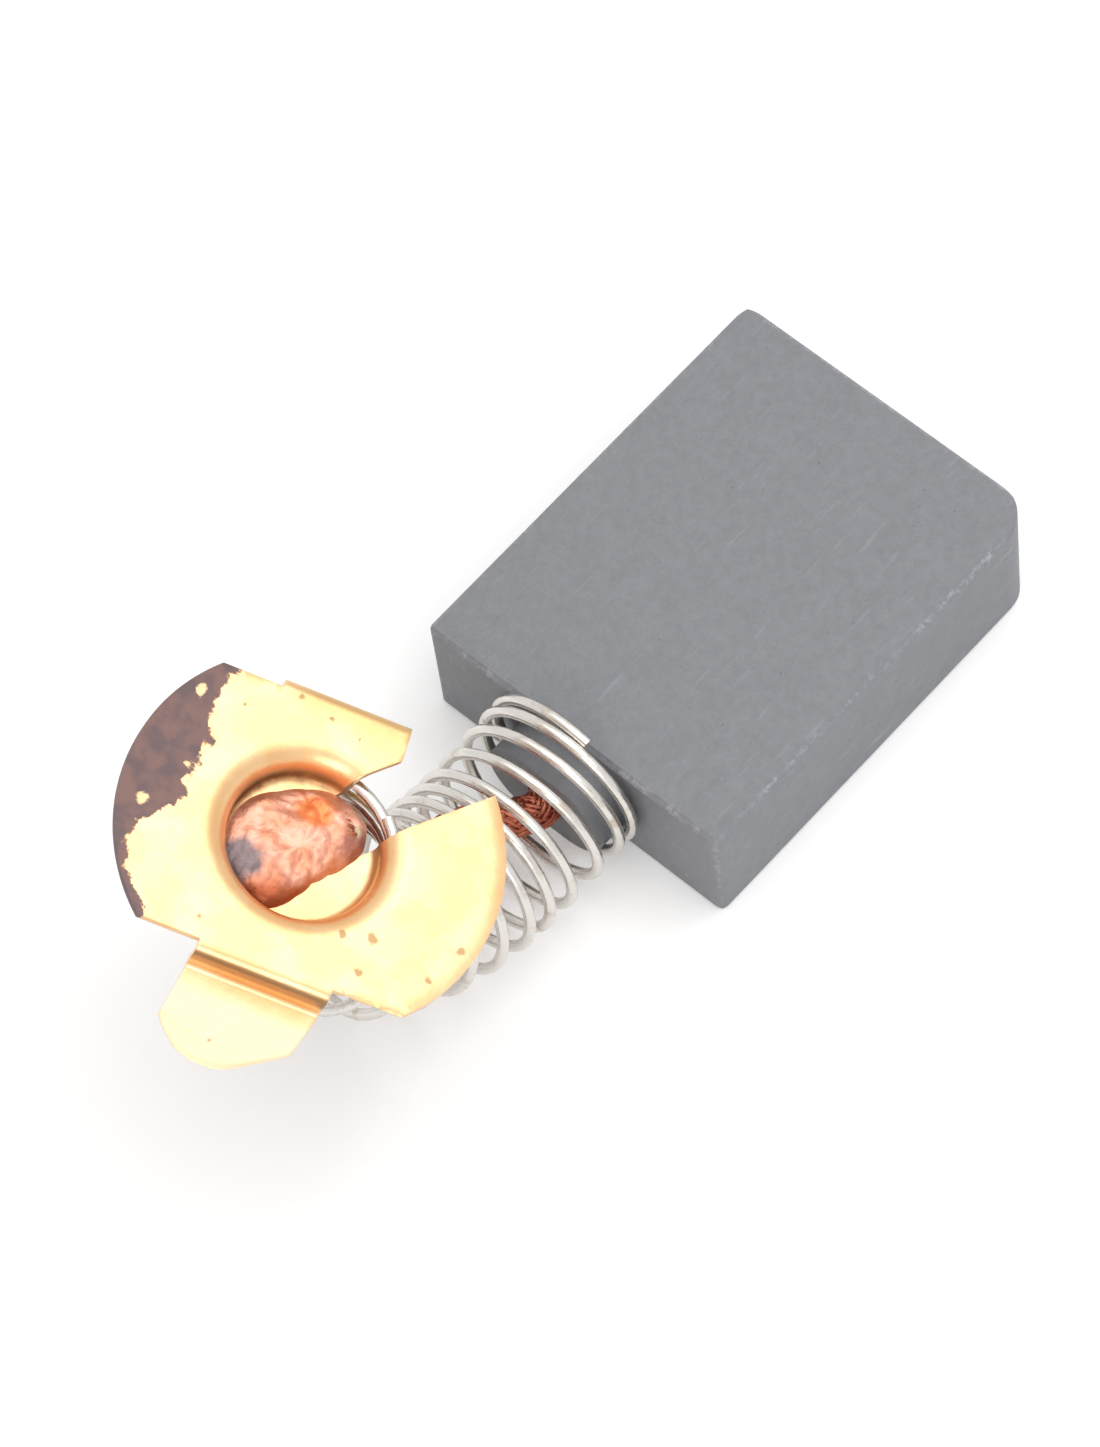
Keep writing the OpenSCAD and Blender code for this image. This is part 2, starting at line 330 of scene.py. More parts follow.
class Finish(Nodes):
    """One material, built round its principled shader."""

    def __init__(self, name, **fixed):
        self.material = bpy.data.materials.new(name)
        self.material.use_nodes = True
        super().__init__(self.material.node_tree)
        self.shader = next(n for n in self.tree.nodes if n.type == "BSDF_PRINCIPLED")
        self.show(**fixed)

    def place(self, at=(0, 0, 0), axes=None):
        """Object coordinates in millimetres, or the three numbers along other axes."""
        local = self.node("ShaderNodeTexCoord").outputs["Object"]
        scaled = self.node("ShaderNodeVectorMath", {"operation": "SCALE"},
                           {0: local, "Scale": 1 / MM}).outputs[0]
        moved = self.node("ShaderNodeVectorMath", {"operation": "SUBTRACT"},
                          {0: scaled, 1: tuple(at)}).outputs[0]
        if axes is None:
            parts = self.node("ShaderNodeSeparateXYZ", None, {0: moved})
            return moved, [Value(self, out) for out in parts.outputs]
        along = [Value(self, self.node("ShaderNodeVectorMath", {"operation": "DOT_PRODUCT"},
                                       {0: moved, 1: tuple(axis)}).outputs["Value"])
                 for axis in axes]
        joined = self.node("ShaderNodeCombineXYZ", None, dict(enumerate(along))).outputs[0]
        return joined, along

    def stretch(self, vector, factors):
        """The vector with each of its parts multiplied."""
        return self.node("ShaderNodeVectorMath", {"operation": "MULTIPLY"},
                         {0: vector, 1: tuple(factors)}).outputs[0]

    def noise(self, vector, scale, detail=3.0, rough=0.5):
        made = self.node("ShaderNodeTexNoise", None,
                         {"Vector": vector, "Scale": scale, "Detail": detail,
                          "Roughness": rough})
        return Value(self, made.outputs["Fac"])

    def cells(self, vector, scale, feature="F1", randomness=1.0):
        made = self.node("ShaderNodeTexVoronoi", {"feature": feature},
                         {"Vector": vector, "Scale": scale, "Randomness": randomness})
        return Value(self, made.outputs["Distance"])

    def smooth(self, value, low, high, to_low=0.0, to_high=1.0):
        """A smooth step of a value from low to high."""
        made = self.node("ShaderNodeMapRange", {"interpolation_type": "SMOOTHSTEP"},
                         {"Value": value, "From Min": low, "From Max": high,
                          "To Min": to_low, "To Max": to_high})
        return Value(self, made.outputs["Result"])

    def spot(self, x, y, at, radius, wobble=0.0):
        """A soft round spot in a plane."""
        dx, dy = x - at[0], y - at[1]
        apart = (dx * dx + dy * dy).math("SQRT") + wobble
        return self.smooth(apart, radius, radius * 0.45)

    def mix(self, mask, first, second, blend="MIX"):
        """Two colours, each a socket or three numbers, mixed by a mask."""
        made = self.node("ShaderNodeMix", {"data_type": "RGBA", "blend_type": blend},
                         {0: mask, 6: opaque(first), 7: opaque(second)})
        return made.outputs[2]

    def tint(self, shade, factor):
        """A colour made lighter or darker by a number."""
        grey = self.node("ShaderNodeCombineColor", None, {0: factor, 1: factor, 2: factor})
        return self.mix(1.0, shade, grey.outputs[0], "MULTIPLY")

    def bump(self, height, distance, strength=1.0, under=None):
        """A bump with its distance in millimetres, on top of another one if it is given."""
        sockets = {"Height": height, "Distance": distance * MM, "Strength": strength}
        if under is not None:
            sockets["Normal"] = under
        return self.node("ShaderNodeBump", None, sockets).outputs[0]

    def show(self, **sockets):
        """Feeds the shader's sockets, named with underscores for spaces."""
        for key, value in sockets.items():
            self.link(self.shader.inputs[key.replace("_", " ")], value)
        return self.material


def dress(piece, material):
    """Gives a piece one material."""
    piece.data.materials.clear()
    piece.data.materials.append(material)


def carbon_finish(colours, boss_l):
    """Pressed carbon: fine grain, pits, light scratches and lighter ragged edges."""
    f = Finish("Pressed carbon", Metallic=0.0)
    vector, (x, y, z) = f.place()
    grain = f.noise(vector, 5.5, 5.0, 0.7)
    patches = f.noise(vector, 0.55, 3.0)
    flecks = f.smooth(f.cells(vector, 2.9), 0.13, 0.04) * f.smooth(patches, 0.4, 0.6)
    pits = f.smooth(f.noise(vector, 3.4, 3.0), 0.68, 0.76)
    mottle = f.noise(vector, 1.7, 5.0, 0.7)
    smear = f.smooth(f.noise(f.stretch(vector, (0.25, 2.2, 1.0)), 1.3, 4.0, 0.6), 0.6, 0.74)
    # how close a point is to the block's edges, as the second smallest distance to a face
    back = BLOCK_LOW.x + boss_l
    half_l = (BLOCK_HIGH.x - back) / 2
    to_x = half_l - abs(x - (back + half_l))
    to_y = BLOCK_HIGH.y - abs(y)
    to_z = BLOCK_HIGH.z / 2 - abs(z - BLOCK_HIGH.z / 2)
    smallest = to_x.math("MINIMUM", to_y).math("MINIMUM", to_z)
    largest = to_x.math("MAXIMUM", to_y).math("MAXIMUM", to_z)
    second = to_x + to_y + to_z - smallest - largest
    # lighter along the block's edges, in ragged specks that come and go in patches
    edge_patchiness = f.smooth(f.noise(vector, 0.8, 3.0), 0.38, 0.6)
    edge_specks = f.smooth(second + (f.noise(vector, 3.2, 4.0, 0.7) - 0.5) * 1.1, 0.26, 0.0)
    edge_specks = edge_specks * (0.25 + edge_patchiness * 0.75)
    shade = (0.60 + grain * 0.34 + mottle * 0.42 + patches * 0.14 + flecks * 0.45 + smear * 0.2
             + edge_specks * 0.7 - pits * 0.2)
    base = f.tint(tuple(colours.carbon), shade)
    rough = 0.46 + grain * 0.16 - smear * 0.08 + pits * 0.2
    fine = f.bump(grain, 0.035, 0.55)
    normal = f.bump(flecks * 0.6 + edge_specks * 0.7 + mottle * 0.8 - pits * 0.5, 0.045, 0.6, fine)
    return f.show(Base_Color=base, Roughness=rough, Normal=normal)


def steel_finish(colours):
    """Drawn spring wire: bright, with faint stains and fine grain."""
    f = Finish("Spring steel", Metallic=1.0)
    vector, _ = f.place()
    stain = f.smooth(f.noise(vector, 0.8, 4.0, 0.6), 0.52, 0.7)
    grain = f.noise(vector, 9.0, 3.0, 0.6)
    warm = f.mix(stain, tuple(colours.steel), (0.56, 0.49, 0.42))
    base = f.tint(warm, 0.9 + grain * 0.18)
    return f.show(Base_Color=base, Roughness=0.2 + grain * 0.1 + stain * 0.1,
                  Normal=f.bump(grain, 0.012, 0.5))


# Where the burnt patch on the rim begins: degrees round the cup's middle, and distance from it
OXIDE_EDGE = [(110, 9.9), (121, 9.2), (125, 8.5), (134, 8.05), (141, 7.55), (149, 6.8),
              (154, 6.0), (160, 6.15), (170, 5.7), (177, 6.1), (183, 5.65), (190, 6.4),
              (196, 7.5), (202, 8.25), (214, 8.5), (226, 8.4), (232, 9.8)]
# Specks on the flange and clean holes in the burnt patch: place in the cap's axes, and radius
DARK_SPECKS = [(-3.52, -5.48, 0.2), (2.77, -3.78, 0.2), (4.13, -3.52, 0.34), (3.99, -5.25, 0.24),
               (8.1, -2.5, 0.26), (7.08, -4.38, 0.22), (-2.3, 6.3, 0.2), (-0.66, 5.85, 0.16),
               (-1.0, -9.7, 0.14), (-4.6, 4.9, 0.12), (0.8, 5.4, 0.12)]
BRASS_HOLES = [(-7.57, -1.28, 0.34), (-6.71, 4.76, 0.3), (-6.2, 1.1, 0.24)]


def brass_finish(colours):
    """Rolled and stamped brass with a burnt patch on the rim and specks; painted shade as brown
    in the cup's corner, in the ear's bend and as darker tan on the straight ear, and painted
    light on the splayed ear.
    """
    f = Finish("Stamped brass", Metallic=1.0)
    vector, (x, y, z) = f.place(CAP_AT, (CAP_X, CAP_Y, CAP_N))
    reach = (x * x + y * y).math("SQRT")
    turn = (0 - y).math("ARCTAN2", 0 - x) * (180 / math.pi) + 180
    ragged = f.noise(vector, 1.6, 5.0, 0.65) - 0.5
    # the ramp turns the angle into the patch's edge, as a share of the longest distance
    first, last, longest = OXIDE_EDGE[0][0], OXIDE_EDGE[-1][0], 10
    stops = [((a - first) / (last - first), opaque((r / longest,) * 3)) for a, r in OXIDE_EDGE]
    along = f.node("ShaderNodeValToRGB", {"stops": stops},
                   {0: (turn - first) / (last - first)}).outputs[0]
    edge = Value(f, f.node("ShaderNodeSeparateColor", None, {0: along}).outputs[0])
    edge = edge * longest
    oxide = f.smooth(reach - edge + ragged * 1.5, -0.05, 0.14)
    for px, py, r in BRASS_HOLES:
        oxide = oxide * (1 - f.spot(x, y, (px, py), r, ragged * 1.3) * 0.8)
    oxide = oxide * f.smooth(z, -3.0, -1.0)
    spots = [f.spot(x, y, (px, py), r, ragged * 0.6) for px, py, r in DARK_SPECKS]
    specks = spots[0]
    for spot in spots[1:]:
        specks = specks.math("MAXIMUM", spot)
    # painted shade: dark brown where the cup's wall meets the floor, heavier on one side, and in
    # the splayed ear's inner bend, where shade falls
    painted_cup_shade = f.smooth(abs(reach - 3.7) + ragged * 0.5, 0.55, 0.1) * f.smooth(z, -0.5, -1.3)
    painted_cup_shade = painted_cup_shade * f.smooth(x, 3.0, -2.5, 0.25, 1.0)
    painted_riser_shade = f.smooth(y, -6.85, -7.0) * f.smooth(z + y * 0.36, -3.95, -3.4)
    blotch = f.smooth(f.noise(vector, 0.33, 3.0, 0.55), 0.4, 0.62)
    clean = f.mix(blotch, tuple(colours.brass), (0.83, 0.555, 0.30))
    # painted shade: a darker tan over the straight ear's bend and root, where the sheet turns
    # away from the light
    painted_bend_shade = f.smooth(y, 5.0, 6.6) * f.smooth(x, -3.2, -1.0) * 0.75
    clean = f.mix(painted_bend_shade, clean, (0.62, 0.40, 0.17))
    # painted light: the splayed ear paler, as it slopes outwards towards the light
    painted_ear_light = f.smooth(y, -7.4, -8.2)
    clean = f.mix(painted_ear_light * 0.85, clean, (0.86, 0.66, 0.43))
    oxide_tone = f.mix(f.smooth(f.noise(vector, 0.9, 3.0), 0.4, 0.62), tuple(colours.oxide),
                       (0.145, 0.098, 0.10))
    # the painted shade of the cup's wall and the ear's riser, mixed in as dark brown
    base = f.mix(clamp01(painted_cup_shade + painted_riser_shade * 0.8), clean, (0.20, 0.09, 0.035))
    base = f.mix(specks * 0.6, base, (0.30, 0.19, 0.09))
    base = f.mix(oxide, base, oxide_tone)
    grain = f.noise(f.stretch(vector, (1.0, 6.0, 1.0)), 3.0, 4.0, 0.6)
    orange_peel = f.noise(vector, 2.4, 3.0, 0.5)
    base = f.tint(base, 0.93 + grain * 0.14)
    rough = clamp01(0.30 + grain * 0.10 + oxide * 0.22 + specks * 0.2 + painted_cup_shade * 0.2)
    normal = f.bump(orange_peel, 0.03, 0.35)
    normal = f.bump(grain * 0.5 + oxide * 0.6 + ragged * oxide, 0.02, 0.6, normal)
    return f.show(Base_Color=base, Roughness=rough, Metallic=1 - oxide * 0.6 - painted_cup_shade * 0.3,
                  Normal=normal)


def weld_finish(colours):
    """Crushed and welded copper: pink and orange, burnt grey at one side, red-brown below."""
    f = Finish("Welded copper", Metallic=0.75)
    vector, (x, y, _) = f.place(CAP_AT, (CAP_X, CAP_Y, CAP_N))
    ragged = f.noise(vector, 1.3, 4.0, 0.6) - 0.5
    lumps = f.noise(vector, 0.9, 3.0, 0.5)
    pink = f.mix(f.smooth(lumps, 0.4, 0.62), tuple(colours.copper), (0.93, 0.47, 0.34))
    hot = f.spot(x, y, (0.1, 1.9), 1.0, ragged * 1.2)
    low = f.smooth(y + x * -0.35 + ragged * 0.8, -1.1, -2.3)
    burnt = f.spot(x, y, (-2.4, -1.5), 1.35, ragged * 1.4)
    # dark brown by the slot: partly burnt spots, partly painted shade where the braid rises out
    # of the slot
    slot_soot_and_shade = f.spot(x, y, (2.5, 1.0), 1.2, ragged * 1.2)
    eye = f.spot(x, y, (2.1, 1.75), 0.5, ragged * 0.6)
    base = f.mix(hot * 0.9, pink, (0.98, 0.30, 0.10))
    base = f.mix(low, base, (0.50, 0.13, 0.055))
    base = f.mix(clamp01(burnt * 1.1), base, (0.30, 0.23, 0.24))
    base = f.mix(slot_soot_and_shade * 0.8, base, (0.42, 0.16, 0.12))
    base = f.mix(eye * 0.85, base, (0.55, 0.47, 0.32))
    wrinkle = f.noise(vector, 3.4, 4.0, 0.6)
    base = f.tint(base, 0.72 + wrinkle * 0.34)
    normal = f.bump(wrinkle, 0.09, 0.6)
    return f.show(Base_Color=base, Roughness=0.34 + wrinkle * 0.2 + burnt * 0.1, Normal=normal)


def braid_finish(colours):
    """Bare copper strands, painted darker and redder than the weld's copper as shade, in two
    tones mixed at random.
    """
    f = Finish("Copper braid", Metallic=1.0)
    vector, _ = f.place()
    tone = f.smooth(f.noise(vector, 0.7, 3.0), 0.42, 0.6)
    # painted shade: both tones are darker copper than the weld's, for the braid that lies in
    # shade
    base = f.mix(tone, (0.58, 0.20, 0.12), (0.40, 0.12, 0.075))
    fibre = f.noise(vector, 11.0, 2.0)
    return f.show(Base_Color=f.tint(base, 0.75 + fibre * 0.5), Roughness=0.36 + fibre * 0.2,
                  Normal=f.bump(fibre, 0.02, 0.6))


# ---------------------------------------------------------------- routes of spring and braid

class CoilLine:
    """The spring's middle line: a curve from its seat on the block up into the cap."""
    GAP = 0.02  # between the wire and the block's back
    CLOSED_GAP = 0.05  # between the wire of a closed turn and the next turn or the cap
    START = 112  # degrees from the level side back to the wire's end
    PER_TURN = 40  # straight steps in a turn
    SPREAD = 0.3  # the part of a turn over which a change of pitch is spread
    T_STEP = 0.005  # half the part of the curve that its direction is taken from

    def __init__(self, sizes):
        self.wire_d = sizes.wire_d / MM
        self.coil_r = sizes.coil_r / MM
        self.turns = sizes.turns
        out_r = self.coil_r + self.wire_d / 2
        self.back_x = BLOCK_LOW.x + sizes.boss_l / MM
        self.seat = Vector((self.back_x - self.wire_d / 2 - self.GAP, 0, out_r + self.GAP))
        cup_r, dish_r, sheet_t = (v / MM for v in (sizes.cup_r, sizes.dish_r, sizes.sheet_t))
        # the last turn lies in the hollow under the flange's roll-over
        roll = dish_r - sheet_t - self.wire_d / 2
        off = cup_r + dish_r - self.coil_r
        self.drop = dish_r - math.sqrt(max(0.0, roll * roll - off * off)) + self.CLOSED_GAP
        self.poles = [self.seat, self.seat + Vector((-4.4, 0, 0)),
                      self.seat + Vector((-16, -2, -0.2)),
                      in_cap(0, 0, -self.drop - 6.4), in_cap(0, 0, -self.drop)]
        steps = 80
        line = [self.bezier(i / steps) for i in range(steps + 1)]
        self.run = [0.0]
        for a, b in zip(line, line[1:]):
            self.run.append(self.run[-1] + (b - a).length)
        self.length = self.run[-1]
        closed = self.wire_d + self.CLOSED_GAP
        stations = [0, closed, 1.75, 3.45, 5.3, 6.6, 7.8]
        self.table = list(enumerate(stations)) + [(self.turns - 1, self.length - closed),
                                                  (self.turns, self.length)]

    def bezier(self, t):
        """A point of the curve that the poles draw towards themselves."""
        points = [Vector(p) for p in self.poles]
        while len(points) > 1:
            points = [a.lerp(b, t) for a, b in zip(points, points[1:])]
        return points[0]

    @staticmethod
    def lookup(value, table):
        """A value read from a table, along straight lines between its rows."""
        if value <= table[0][0]:
            return table[0][1]
        for (a, va), (b, vb) in zip(table, table[1:]):
            if value <= b:
                return va + (vb - va) * (value - a) / (b - a)
        return table[-1][1]

    def place(self, s):
        """The curve's parameter at a length along it."""
        steps = len(self.run) - 1
        return self.lookup(s, [(r, i / steps) for i, r in enumerate(self.run)])

    def at(self, s):
        return self.bezier(self.place(s))

    def around(self, s, radius, angle):
        """A point beside the middle line, at an angle from its level side."""
        t = min(1 - self.T_STEP, max(self.T_STEP, self.place(s)))
        ahead = (self.bezier(t + self.T_STEP) - self.bezier(t - self.T_STEP)).normalized()
        side = (Vector((0, 1, 0)) - ahead.y * ahead).normalized()
        a = math.radians(angle)
        return self.at(s) + radius * (math.cos(a) * side + math.sin(a) * ahead.cross(side))

    def wire(self, t):
        """The wire's middle after a number of turns."""
        s = sum(self.lookup(t + d, self.table) for d in (-self.SPREAD, 0, self.SPREAD)) / 3
        return self.around(s, self.coil_r, 360 * t - self.START)


class BraidLine:
    """The pigtail's route, with its half width and half thickness."""
    CLEAR = 0.1  # between the braid and the inside of the spring
    LIFT = 0.47  # of the crushed end's middle over the cup's floor
    FINE = 40  # parts into which each stretch is divided before even steps are picked

    def __init__(self, sizes, coil):
        shunt_r = sizes.shunt_d / MM / 2
        cup_depth = sizes.cup_depth / MM
        rise = coil.coil_r - coil.wire_d / 2 - shunt_r - self.CLEAR
        weld_z = -cup_depth + self.LIFT
        a = math.radians(SLOT_ANGLE)
        out = (math.cos(a), math.sin(a))
        middle = (SLOT_LOW + SLOT_HIGH) / 2

        def in_slot(r, z):
            return in_cap(r * out[0] - middle * out[1], r * out[1] + middle * out[0], z)

        mouth = Vector((BLOCK_LOW.x, 0, BOSS_Z))
        self.points = [
            mouth + Vector((sizes.shunt_depth / MM, 0, 0)),
            mouth + Vector((sizes.shunt_depth / MM / 2, 0, 0)),
            mouth + Vector((1, 0, 0)),
            mouth + Vector((-0.8, 0, 0)),
            coil.around(4.6, 1.5, 20), coil.around(7, 1.9, -15), coil.around(9.8, 1.2, -30),
            coil.around(12.8, 0.6, 0), coil.around(15.6, 0.7, 60),
            in_slot(rise - 1, -cup_depth - 5.4), in_slot(rise - 0.15, -cup_depth - 3),
            in_slot(rise, weld_z - 1.8), in_slot(rise, weld_z - 1),
            in_slot(rise - 0.29, weld_z - 0.29), in_slot(rise - 1, weld_z - 0.05)]
        self.half = [(shunt_r, shunt_r)] * 11 + [
            (shunt_r * 1.05, shunt_r * 0.85), (1.1, 0.54), (1.05, 0.42), (0.9, 0.34)]
        self.wide_way = CAP_N.cross(out[0] * CAP_X + out[1] * CAP_Y)

    @staticmethod
    def spline(values, i, t):
        """A smooth curve through the values, at a part t of the stretch after value i."""
        n = len(values) - 1
        a, b, c, d = (Vector(values[min(n, max(0, k))]) for k in (i - 1, i, i + 1, i + 2))
        return 0.5 * (2 * b + (c - a) * t + (2 * a - 5 * b + 4 * c - d) * t * t
                      + (3 * b - a - 3 * c + d) * t * t * t)

    def samples(self, step):
        """Even steps along the route: place, direction across, direction through, half sizes."""
        last = len(self.points) - 1
        dense = [(i, j / self.FINE) for i in range(last) for j in range(self.FINE)]
        dense.append((last - 1, 1.0))
        places = [self.spline(self.points, i, t) for i, t in dense]
        run, picked, due = 0.0, [0], step
        for k in range(1, len(places)):
            run += (places[k] - places[k - 1]).length
            if run >= due:
                picked.append(k)
                due += step
        made = []
        for k in picked:
            i, t = dense[k]
            ahead = (places[min(k + 2, len(places) - 1)] - places[max(k - 2, 0)]).normalized()
            wide = (self.wide_way - self.wide_way.dot(ahead) * ahead).normalized()
            made.append((places[k], wide, ahead.cross(wide), self.spline(self.half, i, t)))
        return made


def follow_travel(piece):
    """Bakes the piece's place into its mesh."""
    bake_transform(piece)


# ---------------------------------------------------------------- operators

class BRUSH_OT_carbon_block(bpy.types.Operator):
    """Gives the carbon block its finish"""
    bl_idname = "brush.carbon_block"
    bl_label = "Carbon block"

    def execute(self, context):
        finish = carbon_finish(context.scene.brush_colours, mm("boss_l"))
        dress(NODES["carbon_block"], finish)
        return {"FINISHED"}


class BRUSH_OT_spring(bpy.types.Operator):
    """Makes the spring's wire along its bent middle line"""
    bl_idname = "brush.spring"
    bl_label = "Spring"

    def execute(self, context):
        coil = CoilLine(context.scene.brush_sizes)
        path = [coil.wire(i / coil.PER_TURN) for i in range(coil.PER_TURN * coil.turns + 1)]
        wire = tube_from_paths("spring_wire", [path], coil.wire_d / 2, 6)
        finish_mesh(wire, 50)
        dress(wire, steel_finish(context.scene.brush_colours))
        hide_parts("spring")
        follow_travel(wire)
        return {"FINISHED"}


class BRUSH_OT_pigtail(bpy.types.Operator):
    """Makes the braid from strands that pass over and under each other, round a dark core"""
    bl_idname = "brush.pigtail"
    bl_label = "Pigtail"

    def execute(self, context):
        sizes = context.scene.brush_sizes
        coil = CoilLine(sizes)
        step = 0.14
        samples = BraidLine(sizes, coil).samples(step)
        carriers, pitch, strand_r = 8, 9.0, 0.115
        # how deep the strands lie, how far they rise over each other, and how close a pair is
        inset, wave, spacing = strand_r + 0.07, 0.05, 0.86
        row = 2 * math.pi / (2 * carriers)
        paths = []
        for way in (1, -1):
            for k in range(carriers):
                for beside in (-0.5, 0.5):
                    path = []
                    for n, (p, wide, thick, half) in enumerate(samples):
                        turned = 2 * math.pi * n * step / pitch
                        a = way * turned + k * 2 * row + beside * row * spacing
                        lift = way * wave * math.cos(math.pi * turned / row) - inset
                        path.append(p + (half.x + lift) * math.cos(a) * wide
                                    + (half.y + lift) * math.sin(a) * thick)
                    paths.append(path)
        braid = tube_from_paths("pigtail_braid", paths, strand_r, 1)
        core = self.core(samples)
        make_active(braid)
        core.select_set(True)
        bpy.ops.object.join()
        finish_mesh(braid, 60)
        dress(braid, braid_finish(context.scene.brush_colours))
        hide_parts("pigtail")
        follow_travel(braid)
        return {"FINISHED"}

    @staticmethod
    def core(samples):
        """A plain tube under the strands, so that nothing shows through them."""
        sides, inset = 20, 0.2
        deselect_all()
        bpy.ops.mesh.primitive_cylinder_add(vertices=sides, radius=1, depth=1,
                                            end_fill_type="NGON")
        core = name_piece("braid_core")
        bpy.ops.object.mode_set(mode="EDIT")
        bpy.ops.mesh.select_all(action="DESELECT")
        select_faces(core, lambda co: co.z > 0)
        for _ in samples[2:]:
            bpy.ops.mesh.extrude_region_move(TRANSFORM_OT_translate={"value": (0, 0, 1)})
        bpy.ops.object.mode_set(mode="OBJECT")
        # each ring of the straight cylinder goes to its own sample
        for v in core.data.vertices:
            p, wide, thick, half = samples[min(len(samples) - 1, max(0, round(v.co.z + 0.5)))]
            v.co = p + v.co.x * (half.x - inset) * wide + v.co.y * (half.y - inset) * thick
        return core


# The weld's outline on the cup's floor: degrees round the cup's middle, and distance from it
WELD_OUTLINE = [(-178, 3.42), (-150, 3.4), (-125, 3.42), (-104, 3.4), (-92, 2.9), (-75, 2.15),
                (-50, 1.6), (-20, 1.7), (5, 2.3), (22, 3.0), (43, 3.5), (62, 3.42), (80, 3.3),
                (100, 3.0), (125, 2.9), (150, 3.2), (182, 3.42)]


class BRUSH_OT_weld(bpy.types.Operator):
    """Makes the crushed and welded end of the braid on the cup's floor"""
    bl_idname = "brush.weld"
    bl_label = "Weld"

    def execute(self, context):
        floor = -mm("cup_depth")
        deselect_all()
        bpy.ops.mesh.primitive_uv_sphere_add(segments=128, ring_count=64, radius=1)
        weld = name_piece("pigtail_weld")
        for v in weld.data.vertices:
            v.co = self.shaped(v.co, floor)
        bpy.ops.object.mode_set(mode="EDIT")
        bpy.ops.mesh.select_all(action="SELECT")
        bpy.ops.mesh.normals_make_consistent(inside=False)
        finish_mesh(weld, 180, CAP_PLACE)
        dress(weld, weld_finish(context.scene.brush_colours))
        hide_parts("pigtail")
        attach(weld, "cap")
        return {"FINISHED"}

    @staticmethod
    def shaped(co, floor):
        """Where a point of the unit ball goes on the crushed copper."""
        angle = math.degrees(math.atan2(co.y, co.x))
        whole = angle if angle > WELD_OUTLINE[0][0] else angle + 360
        outline = CoilLine.lookup(whole, WELD_OUTLINE)
        level = math.hypot(co.x, co.y)
        flat = level ** 0.55 if level > 0 else 0.0
        x, y = (outline * flat * c / level if level > 0 else 0.0 for c in (co.x, co.y))

        def near(px, py, spread):
            return math.exp(-((x - px) ** 2 + (y - py) ** 2) / spread)

        height = 0.62 + 0.30 * noise.noise(Vector((x * 0.55, y * 0.55, 3.1)))
        height += 0.14 * noise.noise(Vector((x * 1.6, y * 1.6, 7.7)))
        # a ridge along the slot, a fold across it, a burnt hollow away from the slot, and an
        # eye in the raised copper at the slot's end
        ridge = math.exp(-((x * 0.68 - y * 0.73 + 0.2) ** 2) / 0.9)
        lap = math.exp(-((x * 0.73 + y * 0.68 - 1.5) ** 2) / 0.05)
        hollow = near(-2.5, -1.5, 0.7)
        eye = near(2.1, 1.75, 0.16)
        height += 0.16 * ridge - 0.34 * hollow - 0.45 * eye - 0.12 * lap
        height += 0.25 * near(2.3, 2.1, 1.6)
        height *= 0.92 + 0.08 * math.cos(3 * math.radians(angle))
        z = floor + 0.03
        if co.z > 0:
            creases = noise.noise(Vector((x * 3.1, y * 3.1, 5.2)))
            z += (height + 0.07 * creases) * (1 - level ** 3.2)
        return Vector((x, y, z))


